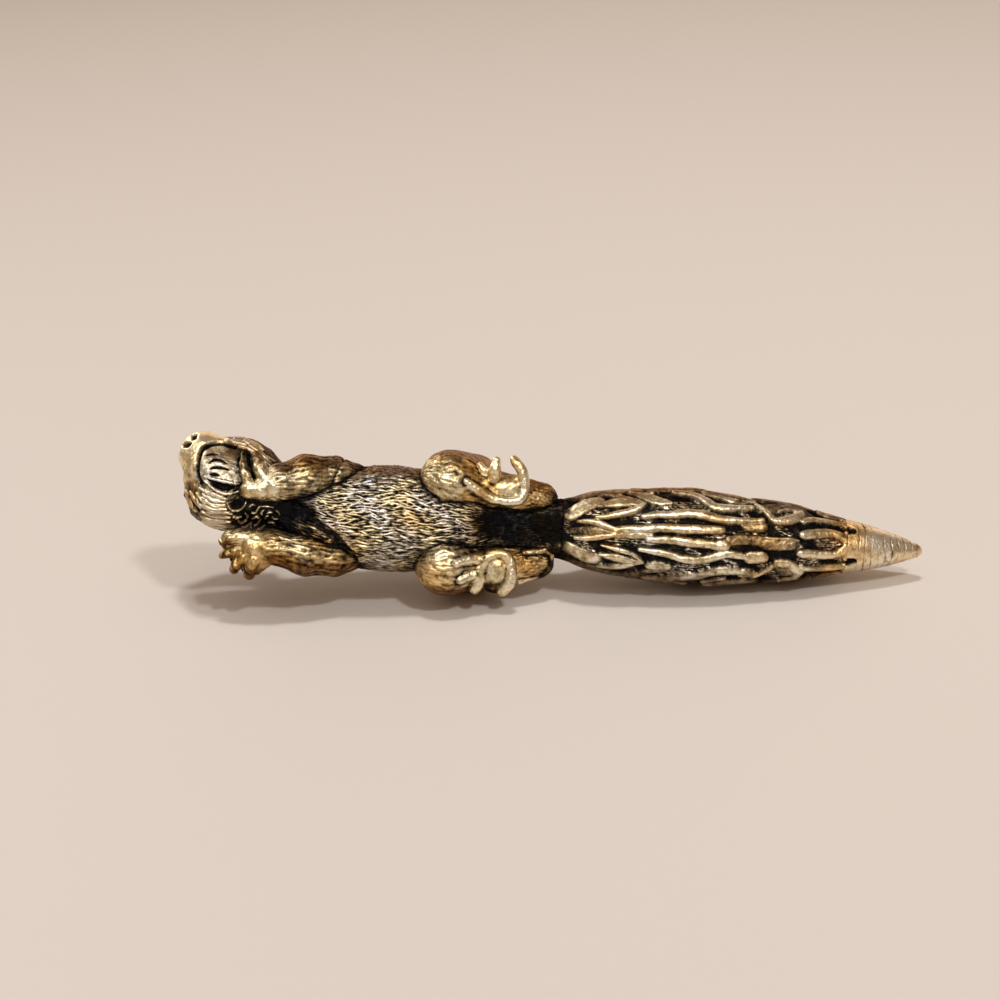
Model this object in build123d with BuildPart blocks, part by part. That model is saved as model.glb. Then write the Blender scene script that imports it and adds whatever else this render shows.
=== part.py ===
"""Cast brass squirrel figurine with a straight carved tail, lying on its haunch and tail.

The figure's own frame has +X from the head to the tail tip, +Y to the animal's left and
+Z out of its belly, with the origin where the tail meets the rump. All sizes are millimetres.
"""

import os
from math import atan2, cos, pi, radians, sin

from build123d import *

# Trunk: where each cross-section lies along the axis, and its half width and half depth
neck_x, neck_half_width, neck_half_depth = -31.0, 3.1, 3.2
shoulder_x, shoulder_half_width, shoulder_half_depth = -26.0, 4.6, 4.7
waist_x, waist_half_width, waist_half_depth = -19.0, 5.7, 5.4
hip_x, hip_half_width, hip_half_depth = -10.5, 4.5, 5.0
rump_x, rump_half_width, rump_half_depth = -4.0, 3.1, 3.5
tail_root_radius = 2.7
neck_sideways, rump_back = 1.0, 0.6

# Head: the skull, and the muzzle and lower jaw that reach forward from it
skull_centre = (-36.6, 2.7, 0.2)
skull_radius = 5.1
gaze = (-0.74, 0.67, 0.06)
muzzle_reach, muzzle_radius = 3.3, 3.1
jaw_reach, jaw_radius, jaw_drop = 2.2, 2.0, 2.7
nape_root_radius, nape_radius = 4.3, 3.6
ear_length, ear_root_radius, ear_tip_radius = 2.4, 1.4, 0.8
eye_radius = 0.75
nostril_radius, nostril_depth, nostril_spacing = 0.3, 0.6, 1.5

# Forelegs: shoulder, elbow and palm centres with their radii, and the finger tips. The left paw lies on
# the cheek, so its palm and tips are ways out of the skull's centre and heights above the skull
left_shoulder, left_elbow = (-24.9, 4.3, 1.8), (-28.4, 4.0, 3.0)
left_palm_way, left_palm_lift = (3.3, -0.3, 4.7), 0.8
left_finger_ways = ((3.4, 2.7, 3.1), (1.8, 3.2, 3.7), (2.3, -1.1, 4.5))
left_finger_lift = 0.45
right_shoulder, right_elbow, right_palm = (-24.2, -4.3, 1.8), (-27.2, -4.6, 2.9), (-33.0, -3.9, 4.0)
right_finger_tips = ((-36.3, -3.4, 4.0), (-36.1, -4.8, 3.7), (-35.0, -6.3, 3.6), (-33.4, -6.9, 3.6))
shoulder_radius, elbow_radius, palm_radius = 2.3, 2.2, 1.3
finger_root_radius, finger_tip_radius = 0.65, 0.5

# Hind legs: the left one, which is mirrored for the right
haunch_centre, haunch_radius = (-9.9, 4.4, -2.2), 3.2
knee_centre, knee_radius = (-12.4, 4.9, 0.9), 3.0
shin_centre, shin_radius = (-10.8, 4.6, 0.7), 2.6
hock_centre, hock_radius = (-2.95, 3.1, 0.2), 1.9
sole_toe_end, sole_heel_end = (-8.0, 4.4, 2.9), (-5.3, 3.9, 2.6)
sole_toe_radius, sole_heel_radius = 1.3, 1.6
toe_roots = ((-8.3, 4.1, 3.3), (-8.2, 4.8, 3.2), (-7.4, 5.1, 3.2), (-5.4, 4.7, 3.1))
toe_tips = ((-10.7, 4.0, 3.6), (-9.8, 6.0, 3.4), (-8.2, 7.2, 3.2), (-5.2, 7.1, 3.0))
toe_root_radius, toe_tip_radius = 0.68, 0.55

# Tail: the plume's outline along the axis, the ridges round it, the carved locks and the grooved tip
plume_end_x, plume_waist_x, plume_widest_x, plume_shoulder_x = 30.5, 22.5, 12.5, 3.5
plume_root_radius, plume_shoulder_radius, plume_widest_radius = 3.1, 4.5, 5.3
plume_waist_radius, plume_end_radius = 4.6, 2.9
ridge_angles = (10.6, 26.0, 53.0, 90.0, 127.0, 154.0, 169.4)
ridge_depth, ridge_fade = 0.55, 0.3
lock_height, lock_root = 0.45, 0.6
shoulder_angle = 40.0
tip_length, tip_base_radius, tip_end_radius = 8.4, 2.95, 0.5
tip_belly = 0.3
groove_count, groove_width, groove_depth = 5, 0.3, 0.2

# Spigots: on the trunk at the neck and at the tail root, on the plume at its tip
spigot_clearance = 0.05
neck_spigot_radius, neck_spigot_length = 1.5, 3.0
root_spigot_radius, root_spigot_length = 1.4, 5.0
tip_spigot_radius, tip_spigot_length = 1.0, 3.0

# Flat sides of the castings, and the direction that the sides of a limb start from
trunk_sides, head_sides, limb_sides, sole_sides, digit_sides = 24, 22, 16, 12, 8
limb_side = (0.21, 0.13, 1.0)

# How it lies: the belly is turned up by the roll, and flats are ground where it touches
belly_roll = 25.0
flat_depth = 0.4


def tapered_limb(start, end, start_radius, end_radius, sides):
    """A round-ended taper with flat sides, lofted through sections along the line from start to end."""
    along = Vector(*end) - Vector(*start)
    length = along.length
    sections = (
        (-0.92 * start_radius, 0.39 * start_radius),
        (-0.55 * start_radius, 0.835 * start_radius),
        (0, start_radius),
        (length, end_radius),
        (length + 0.55 * end_radius, 0.835 * end_radius),
        (length + 0.92 * end_radius, 0.39 * end_radius),
    )
    with BuildPart() as limb:
        for reach, radius in sections:
            centre = Vector(*start) + along.normalized() * reach
            with BuildSketch(Plane(origin=tuple(centre), x_dir=limb_side, z_dir=along)):
                RegularPolygon(radius, sides)
        loft(ruled=True)
    return limb.part


def blunt_taper(root, tip, root_radius, tip_radius, sides):
    """A straight taper with flat sides and a bevelled end, for fingers, toes, ears and the nape."""
    along = Vector(*tip) - Vector(*root)
    sections = (
        (0, root_radius),
        (along.length, tip_radius),
        (along.length + tip_radius * 0.6, tip_radius * 0.5),
    )
    with BuildPart() as digit:
        for reach, radius in sections:
            centre = Vector(*root) + along.normalized() * reach
            with BuildSketch(Plane(origin=tuple(centre), x_dir=limb_side, z_dir=along)):
                RegularPolygon(radius, sides)
        loft(ruled=True)
    return digit.part


def spigot(start, radius, length):
    """A plain round peg along the axis of the figure."""
    with BuildPart() as peg:
        with BuildSketch(Plane(origin=start, x_dir=(0, 1, 0), z_dir=(1, 0, 0))):
            Circle(radius)
        extrude(amount=length)
    return peg.part


# Trunk: a loft through elliptical cross-sections, from the neck to the tail root
trunk_sections = (
    ((neck_x, neck_sideways, 0), neck_half_width, neck_half_depth),
    ((shoulder_x, 0, 0), shoulder_half_width, shoulder_half_depth),
    ((waist_x, 0, 0), waist_half_width, waist_half_depth),
    ((hip_x, 0, -rump_back / 2), hip_half_width, hip_half_depth),
    ((rump_x, 0, -rump_back), rump_half_width, rump_half_depth),
    ((0, 0, 0), tail_root_radius, tail_root_radius),
)
with BuildPart() as trunk_form:
    for centre, half_width, half_depth in trunk_sections:
        with BuildSketch(Plane(origin=centre, x_dir=(0, 1, 0), z_dir=(1, 0, 0))):
            turns = [2 * pi * side / trunk_sides for side in range(trunk_sides)]
            Polygon(*[(half_width * cos(turn), half_depth * sin(turn)) for turn in turns], align=None)
    loft()

neck_seat = (neck_x, neck_sideways, 0)
with BuildPart() as torso:
    add(trunk_form.part)
    add(spigot(neck_seat, neck_spigot_radius, -neck_spigot_length))
    add(spigot((0, 0, 0), root_spigot_radius, root_spigot_length))

# Head: skull with the muzzle, lower jaw and nape, ears laid back, eyes at the sides
forward = Vector(*gaze).normalized()
leftward = forward.cross(Vector(0, 0, 1)).normalized()
belly = Vector(0, 0, 1)
skull = Vector(*skull_centre)
muzzle_centre = tuple(skull + forward * muzzle_reach)
jaw_hinge = tuple(skull + belly * jaw_drop)
jaw_tip = tuple(skull + belly * jaw_drop + forward * jaw_reach)
nape_end = (neck_x + 1.0, neck_sideways, 0)
nostril_row = skull + forward * (muzzle_reach + muzzle_radius * 0.82) + belly * muzzle_radius * 0.57
with BuildPart() as head:
    add(tapered_limb(skull_centre, muzzle_centre, skull_radius, muzzle_radius, head_sides))
    add(tapered_limb(jaw_hinge, jaw_tip, jaw_radius, jaw_radius * 0.85, sole_sides))
    add(blunt_taper(skull_centre, nape_end, nape_root_radius, nape_radius, limb_sides))
    for side in (leftward, leftward * -1):
        ear_root = skull + (side * 0.62 - belly * 0.66 - forward * 0.2) * skull_radius * 0.85
        ear_tip = ear_root + (side * 0.25 - belly * 0.55 - forward * 0.8) * ear_length
        add(blunt_taper(tuple(ear_root), tuple(ear_tip), ear_root_radius, ear_tip_radius, digit_sides))
        eye_centre = skull + (forward * 0.4 + side * 0.92) * (skull_radius - eye_radius * 0.5)
        eye_back = eye_centre - side * eye_radius * 0.8
        eye_front = eye_centre + side * eye_radius * 0.45
        add(blunt_taper(tuple(eye_back), tuple(eye_front), eye_radius * 1.1, eye_radius * 0.8, digit_sides))
        nostril = nostril_row + side * nostril_spacing / 2
        nostril_end = nostril - forward * nostril_depth
        add(
            blunt_taper(tuple(nostril), tuple(nostril_end), nostril_radius, nostril_radius * 0.9, digit_sides),
            mode=Mode.SUBTRACT,
        )
    add(trunk_form.part, mode=Mode.SUBTRACT)
    add(
        spigot(neck_seat, neck_spigot_radius + spigot_clearance, -neck_spigot_length - spigot_clearance),
        mode=Mode.SUBTRACT,
    )

# Forelegs: upper arm, forearm and fingers, seated on the trunk and the left one on the cheek
left_palm = tuple(skull + Vector(*left_palm_way).normalized() * (skull_radius + left_palm_lift))
with BuildPart() as left_arm:
    add(tapered_limb(left_shoulder, left_elbow, shoulder_radius, elbow_radius * 1.04, limb_sides))
    add(tapered_limb(left_elbow, left_palm, elbow_radius, palm_radius, limb_sides))
    for way in left_finger_ways:
        tip = tuple(skull + Vector(*way).normalized() * (skull_radius + left_finger_lift))
        add(blunt_taper(left_palm, tip, finger_root_radius, finger_tip_radius, digit_sides))
    add(trunk_form.part, mode=Mode.SUBTRACT)
    add(head.part, mode=Mode.SUBTRACT)

with BuildPart() as right_arm:
    add(tapered_limb(right_shoulder, right_elbow, shoulder_radius, elbow_radius * 1.04, limb_sides))
    add(tapered_limb(right_elbow, right_palm, elbow_radius, palm_radius, limb_sides))
    for tip in right_finger_tips:
        add(blunt_taper(right_palm, tip, finger_root_radius, finger_tip_radius, digit_sides))
    add(trunk_form.part, mode=Mode.SUBTRACT)

# Hind legs: haunch, knee and hock, and the foot with its toes turned up in front
with BuildPart() as leg_form:
    add(tapered_limb(haunch_centre, knee_centre, haunch_radius, knee_radius, limb_sides))
    add(tapered_limb(shin_centre, hock_centre, shin_radius, hock_radius, limb_sides))
    add(tapered_limb(sole_heel_end, sole_toe_end, sole_heel_radius, sole_toe_radius, sole_sides))
    for root, tip in zip(toe_roots, toe_tips):
        add(blunt_taper(root, tip, toe_root_radius, toe_tip_radius, digit_sides))

with BuildPart() as left_hind_leg:
    add(leg_form.part)
    add(trunk_form.part, mode=Mode.SUBTRACT)

# How it lies: the table touches the right haunch and the locks before the tail tip
tail_reach = plume_waist_radius + lock_height
haunch_rise = haunch_centre[1] * cos(radians(belly_roll)) - haunch_centre[2] * sin(radians(belly_roll))
head_up = atan2(haunch_rise + haunch_radius - tail_reach, plume_waist_x - haunch_centre[0])
upward = Vector(
    -sin(head_up),
    cos(head_up) * cos(radians(belly_roll)),
    cos(head_up) * sin(radians(belly_roll)),
)
table_depth = plume_waist_x * sin(head_up) + tail_reach * cos(head_up) - flat_depth
table = Plane(origin=tuple(upward * -table_depth), x_dir=(1, 0, 0), z_dir=tuple(upward))

with BuildPart() as right_hind_leg:
    add(mirror(leg_form.part, about=Plane.XZ))
    add(trunk_form.part, mode=Mode.SUBTRACT)
    split(bisect_by=table, keep=Keep.TOP)


def plume_solid(grow):
    """Ridged sections lofted along the tail axis, each made larger or smaller by grow."""
    stations = (
        (0, plume_root_radius, ridge_fade),
        (plume_shoulder_x, plume_shoulder_radius, ridge_fade),
        (plume_widest_x, plume_widest_radius, 1),
        (plume_waist_x, plume_waist_radius, 1),
        (plume_end_x, plume_end_radius, ridge_fade),
    )
    angles = sorted(list(ridge_angles) + [360 - angle for angle in ridge_angles])
    hollows = [(a + b) / 2 for a, b in zip(angles, angles[1:] + [angles[0] + 360])]
    with BuildPart() as plume:
        for x, radius, depth in stations:
            with BuildSketch(Plane(origin=(x, 0, 0), x_dir=(0, 0, 1), z_dir=(1, 0, 0))):
                outline = []
                for ridge, hollow in zip(angles, hollows):
                    for angle, reach in ((ridge, radius + grow), (hollow, radius + grow - ridge_depth * depth)):
                        outline.append((reach * cos(radians(angle)), reach * sin(radians(angle))))
                Polygon(*outline, align=None)
        loft()
    return plume.part


def carved_lock(angle, start, end, half_width):
    """One pointed lock, seen from outside, cut straight down to the ground."""
    side = Plane(origin=(0, 0, 0), x_dir=(1, 0, 0), z_dir=(0, sin(radians(angle)), cos(radians(angle))))
    widest = start + (end - start) * 0.42
    with BuildPart() as lock:
        with BuildSketch(side):
            Polygon((start, 0), (widest, -half_width), (end, 0), (widest, half_width), align=None)
        extrude(amount=plume_widest_radius + 2 * lock_height)
    return lock.part


def lock_shell(grow):
    """The plume's outline without ridges, made larger or smaller by grow."""
    stations = (
        (0, plume_root_radius),
        (plume_shoulder_x, plume_shoulder_radius),
        (plume_widest_x, plume_widest_radius),
        (plume_waist_x, plume_waist_radius),
        (plume_end_x, plume_end_radius),
    )
    with BuildPart() as shell:
        for x, radius in stations:
            with BuildSketch(Plane(origin=(x, 0, 0), x_dir=(0, 0, 1), z_dir=(1, 0, 0))):
                RegularPolygon(radius + grow, trunk_sides)
        loft()
    return shell.part


# Tail plume: pointed locks overlap the ridges near the root and again before the tip
belly_locks = ((0.8, 6.0, 1.2), (18.4, 25.8, 1.1))
shoulder_locks = ((0.6, 4.2, 1.2), (4.0, 9.4, 1.5), (9.2, 13.0, 1.1), (21.6, 26.6, 1.5))
flank_locks = ((1.2, 6.6, 1.3), (21.0, 26.2, 1.4))
columns = {0: belly_locks, 180: belly_locks, 90: flank_locks, -90: flank_locks}
for angle in (shoulder_angle, -shoulder_angle, 180 - shoulder_angle, shoulder_angle - 180):
    columns[angle] = shoulder_locks
with BuildPart() as locks:
    for angle, column in columns.items():
        for start, end, half_width in column:
            add(carved_lock(angle, start, end, half_width))
    add(lock_shell(-lock_root), mode=Mode.SUBTRACT)
    add(lock_shell(lock_height), mode=Mode.INTERSECT)
with BuildPart() as tail_plume:
    add(plume_solid(0))
    add(locks.part)
    add(spigot((plume_end_x, 0, 0), tip_spigot_radius, tip_spigot_length))
    add(
        spigot((0, 0, 0), root_spigot_radius + spigot_clearance, root_spigot_length + spigot_clearance),
        mode=Mode.SUBTRACT,
    )
    split(bisect_by=table, keep=Keep.TOP)

# Tail tip: a bellied cone with a blunt point and turned grooves
tip_x = plume_end_x + tip_length
groove_pitch = tip_length / (groove_count + 1)
tip_sections = (
    (plume_end_x, tip_base_radius),
    (plume_end_x + tip_length / 2, (tip_base_radius + tip_end_radius) / 2 + tip_belly),
    (tip_x - tip_end_radius, tip_end_radius * 1.4),
    (tip_x, tip_end_radius * 0.6),
)
with BuildPart() as tail_tip:
    for x, radius in tip_sections:
        with BuildSketch(Plane(origin=(x, 0, 0), x_dir=(0, 0, 1), z_dir=(1, 0, 0))):
            RegularPolygon(radius, trunk_sides)
    loft()
    for ring in range(groove_count):
        along = groove_pitch * (ring + 0.6)
        land = tip_base_radius - (tip_base_radius - tip_end_radius) * along / tip_length
        with BuildSketch(Plane(origin=(plume_end_x + along, 0, 0), x_dir=(0, 0, 1), z_dir=(1, 0, 0))):
            Circle(tip_base_radius + groove_width)
            RegularPolygon(land + tip_belly / 2 - groove_depth, trunk_sides, mode=Mode.SUBTRACT)
        extrude(amount=groove_width, mode=Mode.SUBTRACT)
    add(
        spigot((plume_end_x, 0, 0), tip_spigot_radius + spigot_clearance, tip_spigot_length + spigot_clearance),
        mode=Mode.SUBTRACT,
    )

# Each piece is laid on the table, with the middle of the whole over the origin
pieces = {
    "torso": torso.part,
    "head": head.part,
    "left_arm": left_arm.part,
    "right_arm": right_arm.part,
    "left_hind_leg": left_hind_leg.part,
    "right_hind_leg": right_hind_leg.part,
    "tail_plume": tail_plume.part,
    "tail_tip": tail_tip.part,
}
laid = {name: table.to_local_coords(piece) for name, piece in pieces.items()}
boxes = [piece.bounding_box() for piece in laid.values()]
middle_x = (min(box.min.X for box in boxes) + max(box.max.X for box in boxes)) / 2
middle_y = (min(box.min.Y for box in boxes) + max(box.max.Y for box in boxes)) / 2
lowest_z = min(box.min.Z for box in boxes)

os.makedirs("parts", exist_ok=True)
for name, piece in laid.items():
    placed = piece.moved(Location((-middle_x, -middle_y, -lowest_z)))
    placed.label = name
    export_step(placed, f"parts/{name}.step")
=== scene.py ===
import math

import bpy
import numpy as np
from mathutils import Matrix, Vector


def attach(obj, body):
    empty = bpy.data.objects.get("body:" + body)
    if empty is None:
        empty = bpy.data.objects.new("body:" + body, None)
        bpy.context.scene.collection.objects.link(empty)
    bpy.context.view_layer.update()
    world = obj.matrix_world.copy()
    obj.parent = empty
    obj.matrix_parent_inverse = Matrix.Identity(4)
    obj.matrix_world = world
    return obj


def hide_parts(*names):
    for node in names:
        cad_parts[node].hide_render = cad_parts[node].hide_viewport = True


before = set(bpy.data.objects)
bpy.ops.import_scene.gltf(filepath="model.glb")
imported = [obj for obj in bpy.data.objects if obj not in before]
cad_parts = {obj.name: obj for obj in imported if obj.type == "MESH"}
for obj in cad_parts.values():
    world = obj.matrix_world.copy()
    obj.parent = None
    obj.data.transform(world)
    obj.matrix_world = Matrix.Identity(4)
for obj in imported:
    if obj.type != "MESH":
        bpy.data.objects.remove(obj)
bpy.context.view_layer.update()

# The figure's own axes in millimetres: x from head to tail, y the animal's left, z out of its belly
lie = {"bellyRoll": math.radians(25.0), "headUp": math.radians(5.408), "origin": (1.365, -0.128, 6.748)}
sinRoll, cosRoll = math.sin(lie["bellyRoll"]), math.cos(lie["bellyRoll"])
sinUp, cosUp = math.sin(lie["headUp"]), math.cos(lie["headUp"])
toRow = np.array(
    [
        [cosUp, sinUp * cosRoll, sinUp * sinRoll],
        [0.0, sinRoll, -cosRoll],
        [-sinUp, cosUp * cosRoll, cosUp * sinRoll],
    ]
)


def rowPoints(points):
    # figure millimetres to row metres, ground flat where it meets the floor
    row = (points @ toRow.T + np.array(lie["origin"])) * 0.001
    row[:, 2] = np.maximum(row[:, 2], 0.0)
    return row


# The view: its turn about the belly's axis, the point aimed at, and how far off it stands
view = {"tilt": math.radians(3.5), "aim": (-6.87, 2.72, 1.0), "distance": 194.0, "lens": 64.8}


def drawnAt(points):
    # x and y where a point falls on the plane through the aim, as it is seen from the view
    share = view["distance"] / (view["distance"] + view["aim"][2] - points[:, 2])
    return [view["aim"][k] + (points[:, k] - view["aim"][k]) * share for k in (0, 1)]


def smoothStep(low, high, value):
    t = np.clip((value - low) / (high - low), 0, 1)
    return t * t * (3 - 2 * t)


def curveThrough(x, places, values):
    # cubic curve through the values, with each slope taken from the neighbours on both sides
    places, values = np.array(places, float), np.array(values, float)
    slopes = np.gradient(values, places)
    i = np.clip(np.searchsorted(places, x) - 1, 0, len(places) - 2)
    span = places[i + 1] - places[i]
    t = np.clip((x - places[i]) / span, 0, 1)
    start = (1 + 2 * t) * (1 - t) ** 2 * values[i] + t * (1 - t) ** 2 * span * slopes[i]
    end = t * t * (3 - 2 * t) * values[i + 1] + t * t * (t - 1) * span * slopes[i + 1]
    return start + end


def scatter(i, j, salt):
    # repeatable random share from 0 to 1 for each cell (i, j)
    wave = np.sin(i * 12.9898 + j * 78.233 + salt * 37.719) * 43758.5453
    return wave - np.floor(wave)


def furStrokes(along, across, pitch, columns=0, lean=0.35, salt=0.0):
    # Height from 0 to 1 of lens-shaped hairs: one per staggered cell, each jittered and leaned, a hair's
    # height falling off as the root of 1 - (u/length)^2 along it and as 1 - |v/width|^1.4 across it
    along, across = along / pitch[0], across / pitch[1]
    column = np.floor(across)
    best = np.zeros_like(along)
    for sideStep in (-1, 0, 1):
        j = column + sideStep
        key = np.mod(j, columns) if columns else j
        shifted = along + scatter(key, 0.0, salt)
        row = np.floor(shifted)
        for lengthStep in (-1, 0, 1):
            i = row + lengthStep
            u = shifted - i - 0.5 - 0.5 * (scatter(i, key, salt + 1) - 0.5)
            v = across - j - 0.5 - 0.5 * (scatter(i, key, salt + 2) - 0.5)
            turn = lean * 2 * (scatter(i, key, salt + 3) - 0.5)
            u, v = u + turn * v * pitch[1] / pitch[0], v - turn * u * pitch[0] / pitch[1]
            length = 0.62 + 0.3 * scatter(i, key, salt + 4)
            width = 0.5 + 0.22 * scatter(i, key, salt + 5)
            lengthwise = np.sqrt(np.clip(1 - (u / length) ** 2, 0, None))
            body = lengthwise * np.clip(1 - np.abs(v / width) ** 1.4, 0, None)
            best = np.maximum(best, body * (0.6 + 0.4 * scatter(i, key, salt + 6)))
    return best


def lumps(points, size, salt):
    # smooth random height from -1 to 1: random values on a cubic lattice, eased between its corners
    cell = np.floor(points / size)
    t = points / size - cell
    t = t * t * (3 - 2 * t)
    total = np.zeros(len(points))
    for corner in np.ndindex(2, 2, 2):
        share = np.prod(np.where(np.array(corner) == 1, t, 1 - t), 1)
        i, j, k = (cell + np.array(corner)).T
        total += share * scatter(i, j, salt + 1.7 * k)
    return 2 * total - 1


def castSkin(points, salt):
    # two sizes of lumps, as on a rough casting
    return 0.6 * lumps(points, 0.6, salt) + 0.4 * lumps(points, 0.27, salt + 0.5)


def blendMin(a, b, soft):
    # union of two fields with a rounded seam
    h = np.clip(0.5 + 0.5 * (b - a) / soft, 0, 1)
    return b + (a - b) * h - soft * h * (1 - h)


def roundCone(points, start, end, startRadius, endRadius):
    # distance to a round-ended taper: distance to its core line less the radius there
    start, end = np.array(start, float), np.array(end, float)
    core = end - start
    t = np.clip(((points - start) @ core) / (core @ core), 0, 1)
    reach = np.linalg.norm(points - start - t[:, None] * core, axis=1)
    return reach - (startRadius + (endRadius - startRadius) * t)


def unit(vector):
    vector = np.array(vector, float)
    return vector / np.linalg.norm(vector)


def chainField(points, stations, soft=0.2):
    # union of round-ended tapers through stations (x, y, z, radius)
    field = None
    for first, second in zip(stations, stations[1:]):
        part = roundCone(points, first[:3], second[:3], first[3], second[3])
        field = part if field is None else blendMin(field, part, soft)
    return field


def lineDistance(u, v, line):
    # distance to a smooth curve through the line's points, and the share of the way along it
    steps = np.linspace(0, len(line) - 1, 5 * (len(line) - 1) + 1)
    line = np.stack([curveThrough(steps, np.arange(len(line)), [p[k] for p in line]) for k in (0, 1)], 1)
    nearest, share = np.full(u.shape, 99.0), np.zeros(u.shape)
    for k, ((u0, v0), (u1, v1)) in enumerate(zip(line, line[1:])):
        du, dv = u1 - u0, v1 - v0
        t = np.clip(((u - u0) * du + (v - v0) * dv) / (du * du + dv * dv), 0, 1)
        reach = np.hypot(u - u0 - t * du, v - v0 - t * dv)
        closer = reach < nearest
        nearest = np.where(closer, reach, nearest)
        share = np.where(closer, (k + t) / (len(line) - 1), share)
    return nearest, share


def roundStroke(u, v, line, halfWidth, taper=0.0):
    # height from 0 to 1 of a rounded stroke along a line; with taper 1 it narrows to points at its ends
    reach, share = lineDistance(u, v, line)
    width = halfWidth * (1 - taper * (2 * share - 1) ** 2) + 1e-4
    return np.sqrt(np.clip(1 - (reach / width) ** 2, 0, 1))


# Trunk: sections along the axis, as half widths, half depths and how far each middle is moved, and the
# fold of skin behind the lower foreleg, in x and y, which is pinched in and darkened with painted shade
trunk = {
    "x": (-31.0, -26.0, -19.0, -10.5, -4.0, 0.0),
    "halfWidth": (3.1, 4.6, 5.7, 4.5, 3.1, 3.2),
    "halfDepth": (3.2, 4.7, 5.4, 5.0, 3.5, 3.2),
    "left": (1.0, 0.0, 0.0, 0.0, 0.0, 0.0),
    "belly": (0.0, 0.0, 0.0, -0.3, -0.6, 0.0),
    "furDepth": 0.22,
    "hollowDepth": 0.7,
    "foldShare": 0.06,
    "fold": ((-27.8, -0.2), (-26.4, -1.0), (-25.0, -2.1), (-23.5, -3.3), (-22.0, -4.6)),
}


def trunkSections(x):
    keys = ("left", "belly", "halfWidth", "halfDepth")
    return [curveThrough(x, trunk["x"], trunk[key]) for key in keys]


def trunkField(points):
    x = np.clip(points[:, 0], trunk["x"][0], trunk["x"][-1])
    middleY, middleZ, halfWidth, halfDepth = trunkSections(x)
    y, z = points[:, 1] - middleY, points[:, 2] - middleZ
    size = np.sqrt((y / halfWidth) ** 2 + (z / halfDepth) ** 2)
    side = (size - 1) * np.minimum(halfWidth, halfDepth)
    beyond = points[:, 0] - x
    return np.where(beyond == 0, side, np.sqrt(np.maximum(side, 0) ** 2 + beyond**2))


# Head: skull, muzzle (reach, radius) and jaw (reach, radius, drop) along the gaze, nape towards the trunk.
# Ears and eyes lie off the skull's middle by shares of leftward (or rightward), belly and gaze.
head = {
    "skull": (-36.42, 2.6, 0.2),
    "gaze": (-0.665, 0.745, 0.06),
    "skullRadius": 4.92,
    "muzzle": (3.9, 2.65),
    "crown": (-35.25, 3.1, -0.2, 4.7),
    "jaw": (2.2, 2.4, 2.5),
    "nape": (-30.0, 1.0, 0.0),
    "napeRadii": (4.4, 3.6),
    "sideReach": 4.3,
    "ear": {"root": (0.62, -0.66, -0.2), "way": (0.25, -0.55, -0.8), "length": 2.4, "radii": (1.4, 0.8)},
    "eye": {"place": (0.92, 0.0, 0.4), "radius": 0.6},
    "box": ((-43.2, -4.6, -8.6), (-28.9, 9.7, 6.3)),
    "furDepth": 0.2,
}
gaze = unit(head["gaze"])
leftward = unit(np.cross(gaze, (0, 0, 1)))
belly = np.array((0.0, 0.0, 1.0))
skull = np.array(head["skull"])
muzzle = skull + gaze * head["muzzle"][0]
jawHinge = skull + belly * head["jaw"][2]
jawTip = jawHinge + gaze * head["jaw"][0]


def headField(points):
    field = roundCone(points, skull, muzzle, head["skullRadius"], head["muzzle"][1])
    nape = roundCone(points, skull, head["nape"], *head["napeRadii"])
    field = blendMin(field, nape, 1.0)
    crown = np.linalg.norm(points - np.array(head["crown"][:3]), axis=1) - head["crown"][3]
    field = blendMin(field, crown, 1.2)
    jaw = roundCone(points, jawHinge, jawTip, head["jaw"][1], head["jaw"][1] * 0.85)
    field = blendMin(field, jaw, 0.4)
    ear, eye = head["ear"], head["eye"]
    for side in (leftward, -leftward):
        axes = np.stack([side, belly, gaze])
        root = skull + ear["root"] @ axes * head["sideReach"]
        end = root + ear["way"] @ axes * ear["length"]
        field = blendMin(field, roundCone(points, root, end, *ear["radii"]), 0.5)
        middle = skull + eye["place"] @ axes * head["sideReach"]
        field = blendMin(field, np.linalg.norm(points - middle, axis=1) - eye["radius"], 0.1)
    return field


# Forelegs: the arm's stations (x, y, z, radius), then each finger's and the dark sheets behind the fingers that
# stand in for the shade between them, the crease across the arm at x (beyond the arm where there is none), and
# the slopes where the painted brown reflection sets in
leftArm = {
    "arm": (
        (-22.6, 4.2, 0.9, 1.5), (-24.8, 4.25, 1.75, 2.0), (-27.6, 3.85, 2.7, 2.4), (-30.3, 3.1, 3.8, 1.95),
        (-32.0, 2.4, 4.5, 1.3),
    ),
    "fingers": (
        ((-33.3, 2.7, 5.0, 0.65), (-34.0, 4.0, 4.75, 0.44), (-34.2, 4.8, 4.5, 0.42), (-34.35, 6.0, 3.75, 0.3)),
        ((-31.6, 3.2, 4.6, 1.0), (-32.4, 4.4, 4.5, 0.78), (-32.85, 5.3, 4.1, 0.7), (-33.0, 5.85, 3.7, 0.55)),
        ((-32.0, 2.4, 4.5, 1.25), (-33.2, 2.15, 4.8, 0.95), (-33.75, 2.1, 4.8, 0.78)),
    ),
    "shadeSheet": (),
    "crease": -24.5,
    "outer": (0.2, 0.65),
    "brown": 0.9,
    "furDepth": 0.15,
}
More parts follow.
